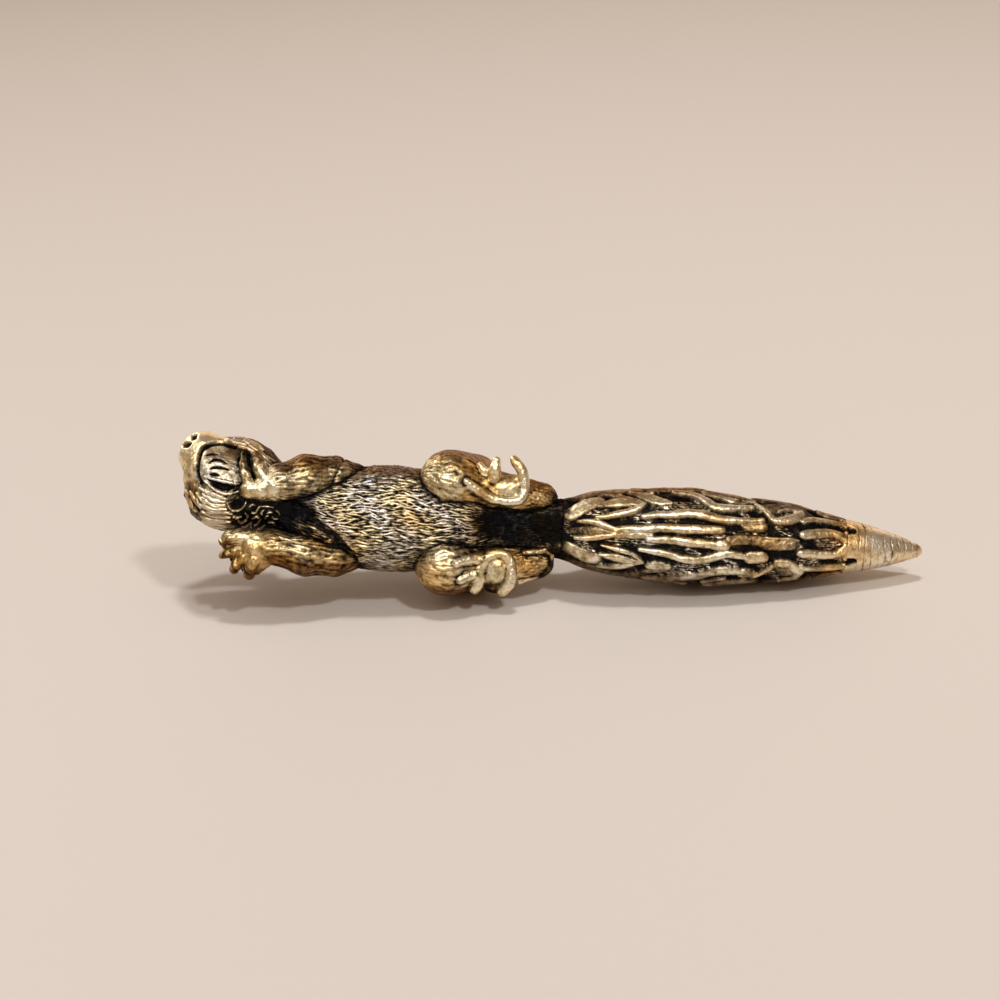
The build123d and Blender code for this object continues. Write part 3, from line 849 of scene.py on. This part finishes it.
# painted shade: where other parts crowd the head, in the hollow under the chin, and under the left paw
shade = np.maximum(crowding(points, "head"), 0.8 * hollowed(points))
pawGap = np.clip(fields["left_arm"](points), 0, farGap)
shade = np.maximum(shade, 0.8 * np.exp(-pawGap / 0.45) * front * smoothStep(1.8, 3.0, y))
shade = shade * (1 - 0.75 * marks)
# painted brown reflection on the crown's left-facing side
crown = smoothStep(0.4, 0.75, normal[:, 1]) * smoothStep(-37.2, -36.3, x)
brown = np.maximum(0.95 * crown * (1 - 0.4 * marks), 0.45 * np.maximum(jowlShade, cheek)) * (1 - cap)
# painted silver reflection on the chin, and silver sheen on the raised marks
cool = np.maximum(0.75 * chin * (1 - cap), 0.3 * marks) * (1 - crown) * (1 - jowlShade)
makePiece(
    "headSkin", "head", points, quads,
    relief=relief, shade=shade, cool=cool, brown=brown, gold=0.25 * cap,
)

# Forelegs: fine hair along the arm, bare fingers
creaseDepth, creaseWidth = 0.14, 0.16
for name, node, arm in (("leftArmSkin", "left_arm", leftArm), ("rightArmSkin", "right_arm", rightArm)):
    points, quads, normal = surfaceOf(fields[node], *boxRound((arm["arm"], *arm["fingers"])))
    hand = np.array(arm["arm"][-1][:3])
    bare = smoothStep(3.0, 1.6, np.linalg.norm(points - hand, axis=1))
    along, across = limbFlow(points, arm["arm"][0][:3], hand, 2.2)
    fur = furStrokes(along, across, (1.5, 0.45), salt=11)
    fromCrease = points[:, 0] - arm["crease"] - 0.35 * (points[:, 1] - 4)
    crease = np.exp(-((fromCrease / creaseWidth) ** 2)) * smoothStep(0.2, 1.5, points[:, 2])
    rough = castSkin(points, 41.0)
    # gap: the dark sheet behind the fingers, kept dark as painted shade
    gap = smoothStep(0.1, 0.3, handField(points, arm))
    lift = arm["furDepth"] * (fur - 0.6) * (1 - bare) - creaseDepth * crease + (0.05 + 0.05 * bare) * rough
    points = points + normal * lift[:, None]
    relief = 0.34 + 0.56 * fur * (1 - bare) + 0.52 * bare - 0.3 * crease + 0.3 * rough - 0.8 * gap
    # painted brown reflection on the arm's outer side
    outer = smoothStep(*arm["outer"], normal[:, 1]) * (1 - bare)
    # painted shade where other parts crowd the arm
    shade = crowding(points, node) * (1 - 0.6 * bare)
    gold = 0.15 + 0.35 * smoothStep(0.2, -0.4, normal[:, 1]) + 0.35 * lumps(points, 1.3, 43.0)
    gold = gold * (1 - 0.9 * bare)
    makePiece(name, node, points, quads, relief=relief, shade=shade, brown=arm["brown"] * outer, gold=gold)

# Hind legs: fine streaks along the thigh, pebbles on the hock, bare foot
for name, node, leg in (
    ("leftLegSkin", "left_hind_leg", leftLeg),
    ("rightLegSkin", "right_hind_leg", rightLeg),
):
    box = boxRound((*leg["leg"], leg["cup"], *leg["rims"]))
    points, quads, normal = surfaceOf(fields[node], *box)
    rims = np.min([chainField(points, rim, 0.15) for rim in leg["rims"]], 0)
    cup = chainField(points, leg["cup"])
    bare = smoothStep(0.15, -0.02, rims)
    hollow = smoothStep(0.15, 0.0, cup) * (1 - bare)
    along, across = limbFlow(points, leg["leg"][1][0][:3], leg["leg"][1][2][:3], 2.6)
    streaks = furStrokes(along, across, (1.1, 0.4), lean=0.4, salt=17)
    pebbles = furStrokes(along, across, (0.6, 0.5), salt=19)
    heel = smoothStep(-4.6, -3.6, points[:, 0])
    fur = streaks * (1 - heel) + pebbles * heel
    fur = fur * (1 - hollow) + 0.45 * hollow
    rough = castSkin(points, 47.0)
    # painted shade: a dark line on the leg round the foot's rims
    rimShade = smoothStep(0.55, 0.1, rims) * (1 - bare) * (1 - hollow)
    pit = hollow * smoothStep(-5.5, -6.3, points[:, 1])
    lift = leg["furDepth"] * (1 + 0.6 * heel) * (fur - 0.6) * (1 - bare) + 0.06 * rough
    points = points + normal * lift[:, None]
    relief = 0.5 + 0.45 * fur * (1 - bare) + 0.42 * bare + 0.1 * hollow - 0.4 * rimShade - 0.5 * pit + 0.2 * rough
    # painted brown reflection on the outward flank and the heel
    flank = np.sign(leg["cup"][0][1]) * normal[:, 1]
    brown = np.maximum(0.9 * smoothStep(0.55, 0.85, flank), 0.6 * heel * smoothStep(0.0, 0.5, flank))
    # painted shade where other parts crowd the leg
    shade = crowding(points, node) * (1 - 0.6 * bare)
    gold = (leg["gold"] + 0.45 * lumps(points, 1.5, 49.0)) * (1 - 0.8 * bare)
    relief, brown = np.clip(relief, 0, 1), brown * (1 - bare)
    makePiece(name, node, points, quads, relief=relief, shade=shade, brown=brown, gold=gold)

# Tail carving as strokes, each with its half width, height, taper and line, in x and degrees from the
# belly side: round ridges, flat pads, slots cut into them, and pads on the flanks, in pairs or single. The
# back of the tail mirrors its front.
carving = {
    "ridges": (
        (0.57, 1.0, 0.5, ((3.5, 21), (5.0, 24), (6.5, 29), (7.7, 36), (8.5, 42))),
        (0.4, 0.8, 0.6, ((4.1, 66), (5.4, 60), (6.6, 56), (7.8, 50), (8.5, 43))),
        (0.52, 0.95, 0.4, ((1.6, 15), (3.2, 14), (4.3, 10), (5.5, 5))),
        (0.54, 0.95, 0.4, ((1.3, -13), (2.6, -11), (4.0, -7), (5.5, -2))),
        (0.61, 1.0, 0.15, ((5.5, 4), (7.2, 6), (8.9, 8), (11.5, 10), (14.0, 10), (15.3, 11), (16.7, 12))),
        (0.59, 1.0, 0.2, ((9.0, -5), (10.5, -5), (12.1, -5), (13.7, -6), (15.1, -7), (16.0, -8), (16.8, -8))),
        (0.61, 1.0, 0.35, ((8.4, 24), (9.6, 27), (11.4, 28), (13.1, 31), (14.4, 30), (15.7, 28), (16.9, 25),
                           (18.7, 26), (21.1, 30))),
        (0.55, 1.0, 0.3, ((8.3, -20), (9.8, -21), (11.3, -24), (12.8, -28), (14.7, -28), (16.0, -24),
                          (17.5, -18), (19.0, -21), (20.3, -25), (21.1, -24))),
        (0.43, 0.95, 0.6, ((4.1, -19), (5.4, -21), (6.9, -26), (8.1, -33), (8.7, -39))),
        (0.68, 0.9, 0.8, ((3.9, -34), (5.5, -36), (7.1, -38), (8.5, -39))),
        (0.55, 0.9, 0.6, ((4.0, -59), (5.2, -57), (6.5, -51), (7.7, -43), (8.6, -39))),
        (0.54, 0.75, 0.6, ((5.4, -82), (7.0, -82), (8.4, -67), (9.8, -54), (10.9, -50))),
        (0.72, 0.95, 0.4, ((9.0, -82), (11.1, -72), (13.2, -62), (15.0, -54), (16.0, -47), (17.6, -44),
                           (19.0, -47), (20.1, -51))),
        (0.33, 0.8, 0.5, ((15.1, -69), (16.4, -65), (17.7, -61))),
        (0.66, 1.0, 0.3, ((11.9, 70), (13.6, 65), (14.5, 59), (15.1, 53), (15.8, 45), (16.8, 42), (18.2, 45),
                          (19.9, 50))),
        (0.37, 0.85, 0.4, ((14.9, 69), (16.4, 66), (17.6, 57), (19.3, 57))),
        (0.43, 0.9, 0.3, ((20.5, 58), (21.5, 46), (22.1, 35), (22.6, 30), (23.5, 32))),
        (0.76, 1.0, 0.35, ((22.5, 31), (23.7, 34), (24.8, 43), (25.5, 54))),
        (0.37, 0.8, 0.5, ((22.8, 47), (23.8, 55), (25.1, 57))),
        (0.63, 0.9, 0.3, ((25.5, 37), (26.6, 46), (27.8, 50), (29.3, 53), (31.1, 60))),
        (0.91, 1.0, 0.2, ((25.7, 14), (27.1, 20), (28.3, 24), (29.4, 23), (30.2, 15))),
        (0.88, 1.0, 0.2, ((25.5, -14), (27.0, -17), (28.5, -18), (29.8, -14), (30.3, 3))),
        (0.8, 0.9, 0.2, ((25.6, -38), (27.5, -48), (29.2, -52), (30.9, -51), (32.2, -46))),
        (0.4, 0.9, 0.4, ((20.4, -60), (21.5, -49), (22.4, -36), (23.0, -28))),
        (0.77, 1.0, 0.3, ((22.9, -29), (24.4, -34), (25.6, -51))),
        (0.61, 0.9, 0.4, ((25.6, -50), (25.1, -67), (23.5, -68))),
        (0.26, 0.85, 0.3, ((21.4, 6), (22.7, 5), (24.1, 7), (25.0, 5))),
    ),
    "pads": (
        (1.21, 0.9, 0.2, ((0.9, 28), (1.7, 40), (2.8, 48), (3.4, 50))),
        (1.21, 0.9, 0.2, ((0.5, -33), (1.5, -40), (2.7, -45), (3.5, -44))),
        (0.94, 0.8, 0.7, ((3.7, 41), (5.6, 46), (7.1, 48), (8.6, 43))),
        (0.82, 0.85, 0.7, ((7.0, 71), (8.7, 60), (9.9, 50), (11.4, 45))),
        (0.69, 0.5, 0.2, ((1.1, 0), (2.9, 1), (5.3, 1))),
        (0.71, 0.82, 0.1, ((5.5, 0), (7.2, 0), (9.1, 2))),
        (0.76, 0.9, 0.4, ((9.3, -45), (10.4, -44), (11.4, -42))),
        (0.74, 0.75, 0.0, ((19.4, 21), (21.0, 21))),
        (0.89, 0.95, 0.0, ((20.1, -23), (21.1, -22))),
        (0.67, 0.72, 0.0, ((17.7, -1), (19.0, 1), (20.8, 2))),
        (0.91, 0.7, 0.1, ((21.5, -2), (22.8, -2), (24.3, -1))),
        (0.74, 0.95, 0.0, ((16.7, -7), (17.0, -7))),
        (0.44, 0.95, 0.0, ((16.4, 12), (16.8, 12))),
        (0.83, 0.9, 0.0, ((19.6, -50), (20.1, -51))),
        (1.23, 0.6, 0.2, ((23.8, -43), (24.8, -50))),
        (1.33, 0.55, 0.4, ((21.0, 52), (23.3, 62), (25.6, 66))),
    ),
    "slots": (
        (0.59, 0.95, 0.2, ((26.1, 31), (27.7, 39), (29.2, 40), (30.8, 38))),
        (0.52, 0.95, 0.2, ((26.2, -32), (28.0, -35), (29.6, -35), (31.1, -36))),
        (0.64, 0.75, 0.1, ((28.0, 0), (29.4, 3))),
        (0.23, 0.7, 0.5, ((4.3, 30), (6.0, 35), (7.6, 40))),
        (0.21, 0.6, 0.5, ((5.8, -27), (7.0, -31), (8.0, -36))),
        (0.27, 0.6, 0.5, ((4.1, -49), (5.2, -46), (6.0, -43))),
        (0.18, 0.6, 0.3, ((17.9, -50), (18.7, -52), (19.5, -52))),
        (0.4, 0.7, 0.4, ((23.1, 44), (23.9, 48), (24.7, 52))),
        (0.41, 0.75, 0.3, ((15.1, 60), (16.3, 56), (17.4, 51))),
    ),
    "pairs": (
        (1.9, 0.8, 0.7, ((-1.0, 84), (3.2, 86), (8.2, 82))),
        (1.6, 0.75, 0.7, ((20.6, 86), (24.0, 88), (27.0, 84))),
        (1.1, 1.0, 0.9, ((27.4, 84), (28.7, 80), (30.5, 74))),
    ),
    "flanks": (
        (0.66, 1.0, 0.35, ((7.4, 86), (11.0, 88), (15.0, 86))),
        (0.66, 1.0, 0.35, ((7.4, -88), (10.6, -88), (13.6, -84))),
        (0.66, 1.0, 0.35, ((15.6, -80), (18.0, -76), (20.8, -72))),
        (0.7, 0.9, 0.4, ((15.0, 78), (17.6, 74), (20.4, 66))),
    ),
}
tailEnd = tail["x"][-1]
x, turn = tubeGrid(0, tailEnd, *tubeCells, -np.pi)
fold = np.where(np.abs(turn) > np.pi / 2, np.sign(turn) * np.pi - turn, turn)
across = fold * tail["drawnRadius"]
along = x + 0.04 * np.sin(across * 1.9 + 0.7 * x)
across = across + 0.03 * np.sin(x * 1.6 + across * 0.7)


def carved(group, power, across=across):
    # highest of a group's strokes, each from 0 to its own height
    height = np.zeros(x.shape)
    for halfWidth, top, taper, line in carving[group]:
        line = [(u, math.radians(v) * tail["drawnRadius"]) for u, v in line]
        stroke = roundStroke(along, across, line, halfWidth, taper)
        height = np.maximum(height, top * stroke**power)
    return height


height = np.maximum(carved("pairs", 0.6, np.abs(across)), carved("flanks", 0.6))
height = np.maximum(np.maximum(height, carved("pads", 0.45)), carved("ridges", 0.75))
height = np.maximum(height, 0.9 * smoothStep(29.7, 30.3, x))
height = height * (0.96 + 0.04 * np.sin(1.7 * x + 3 * np.sin(across))) * (1 - carved("slots", 0.6))
round96 = (turn * 96 / (2 * np.pi)).ravel()
grit = furStrokes(x.ravel(), round96, (0.36, 1.0), 96, lean=1.4, salt=23).reshape(x.shape)
height = np.maximum(height, 0.2 * grit)
radius = curveThrough(x, tail["x"], tail["radius"])
radius = radius + tail["carving"] * (height - 0.95) * smoothStep(-0.4, 1.2, x)
points = tubePoints(x, radius * np.sin(turn), radius * np.cos(turn), ((-0.01, 0, 0), (tailEnd + 0.01, 0, 0)))
quads, fans = tubeFaces(*tubeCells)
# painted shade where other parts crowd the plume
shade = crowding(points, "tail_plume")
# painted glints: silver-blue grit in wavy bands on the low ground, raised in brightness
wave = 0.5 + 0.5 * np.sin(1.1 * x + 2.3 * np.sin(0.8 * across + 0.5 * x))
glint = smoothStep(0.35, 0.85, wave) * smoothStep(0.5, 0.2, height)
relief = withPoles(np.maximum(height, (0.25 + 0.95 * glint) * grit))
rough = castSkin(points, 53.0)
points[:, 1:] *= (1 + 0.012 * rough)[:, None]
# the painted glints, and elsewhere a plain cooler hue
cool = withPoles(np.maximum(glint, 0.3))
# painted brown reflection on the plume's left and right sides
brown = 0.75 * smoothStep(0.75, 0.93, np.abs(withPoles(np.sin(turn))))
makePiece(
    "plumeSkin", "tail_plume", points, quads[:, ::-1], fans[:, ::-1],
    relief=relief * (0.92 + 0.25 * rough), shade=shade, cool=cool, brown=brown,
)

# Tip skin: a bellied cone with uneven turned grooves
tipCells = (200, 160)
s, turn = tubeGrid(0, 1, *tipCells)
x = tip["start"] + s * tip["length"]
radius = tip["baseRadius"] + (tip["endRadius"] - tip["baseRadius"]) * s + tip["belly"] * 4 * s * (1 - s)
radius = radius * np.sqrt(np.clip(1 - np.clip((s - 0.93) / 0.07, 0, 1) ** 2, 0.01, 1))
phase = s * tip["grooves"] + 0.12 * np.cos(turn + 0.6) + 0.15 * np.sin(3 * turn + 9 * s)
depth = 0.35 + 0.65 * scatter(np.floor(phase), np.zeros_like(s), 3.0)
ripple = 0.6 + 0.4 * np.sin(2 * turn + 7 * np.floor(phase))
groove = np.exp(-(((phase % 1 - 0.5) / 0.1) ** 2)) * depth * ripple * smoothStep(0.1, 0.16, s)
run = np.zeros_like(s)
for line in tip["slots"]:
    run = np.maximum(run, roundStroke(x, np.cos(turn) * tip["drawnRadius"], line, tip["slotHalfWidth"], 0.2))
run = run * smoothStep(0.0, 0.3, np.sin(turn))
radius = radius - tip["grooveDepth"] * groove * smoothStep(1.0, 0.9, s) - tip["slotDepth"] * run**0.6
poles = ((x[0, 0] - 0.01, 0, 0), (x[-1, 0] + 0.01, 0, 0))
points = tubePoints(x, radius * np.cos(turn), radius * np.sin(turn), poles)
quads, fans = tubeFaces(*tipCells)
relief = withPoles(0.92 - 0.6 * groove - 0.9 * run**0.5, 0.5)
makePiece(
    "tipSkin", "tail_tip", points, quads, fans,
    relief=relief, shade=np.zeros(len(points)), cool=np.full(len(points), 0.35),
)

# Floor, light and camera
bpy.ops.mesh.primitive_plane_add(size=3.0, location=(0, 0, 0))
floor = bpy.context.active_object
floor.name = "floor"
floorSkin = bpy.data.materials.new("floorSkin")
floorSkin.use_nodes = True
floorInputs = floorSkin.node_tree.nodes["Principled BSDF"].inputs
floorInputs["Base Color"].default_value = (0.73, 0.675, 0.62, 1)
floorInputs["Roughness"].default_value = 0.6
floor.data.materials.append(floorSkin)


def softLamp(name, spot, target, size, power, tint=(1, 1, 1)):
    data = bpy.data.lights.new(name, "AREA")
    data.shape = "RECTANGLE"
    data.size, data.size_y = size
    data.energy = power
    data.color = tint
    lamp = bpy.data.objects.new(name, data)
    lamp.location = spot
    direction = np.array(target) - np.array(spot)
    lamp.rotation_euler = Vector(direction).to_track_quat("-Z", "Y").to_euler()
    bpy.context.scene.collection.objects.link(lamp)
    return lamp


# Lamps that light the floor and aren't mirrored in the brass, then lamps that the brass alone mirrors
trunkPlace, headPlace = (0, 0, 0.01), (-0.03, 0, 0.01)
for name, spot, width, power in (
    ("keyLamp", (0.03, 0.08, 0.64), 0.07, 1.5),
    ("secondLamp", (0.24, -0.24, 0.55), 0.06, 1.1),
    ("skyLamp", (0.0, -0.1, 0.9), 1.4, 1.9),
):
    softLamp(name, spot, trunkPlace, (width, width), power).visible_glossy = False
for name, spot, target, size, power, tint in (
    ("fillLamp", (-0.03, -0.42, 0.48), trunkPlace, (0.7, 0.42), 3.4, (1, 1, 1)),
    ("backGlow", (0.0, 0.55, 0.25), trunkPlace, (1.2, 0.4), 1.5, (0.9, 0.7, 0.52)),
    ("sideGlow", (-0.35, 0.2, 0.3), headPlace, (0.35, 0.35), 1.1, (1, 1, 1)),
):
    softLamp(name, spot, target, size, power, tint).visible_diffuse = False
world = bpy.data.worlds.new("studio")
world.use_nodes = True
skyInputs = world.node_tree.nodes["Background"].inputs
skyInputs["Color"].default_value = (0.42, 0.3, 0.22, 1)
skyInputs["Strength"].default_value = 0.65
bpy.context.scene.world = world
bpy.context.scene.view_settings.view_transform = "Standard"

# Camera: square on to the belly, the axis falling slightly to the right, framed as in the photograph
right = np.array((math.cos(view["tilt"]), math.sin(view["tilt"]), 0))
up = np.array((-math.sin(view["tilt"]), math.cos(view["tilt"]), 0))
basis = toRow @ np.stack([right, up, belly], 1)
eye = rowPoints(np.array([view["aim"]]) + belly * view["distance"])[0]
lens = bpy.data.cameras.new("lens")
lens.lens, lens.sensor_width = view["lens"], 36.0
lens.clip_start, lens.clip_end = 0.01, 10
camera = bpy.data.objects.new("camera", lens)
matrix = np.eye(4)
matrix[:3, :3], matrix[:3, 3] = basis, eye
camera.matrix_world = Matrix(matrix.tolist())
bpy.context.scene.collection.objects.link(camera)
bpy.context.scene.camera = camera
print("floor, lamps and camera made")
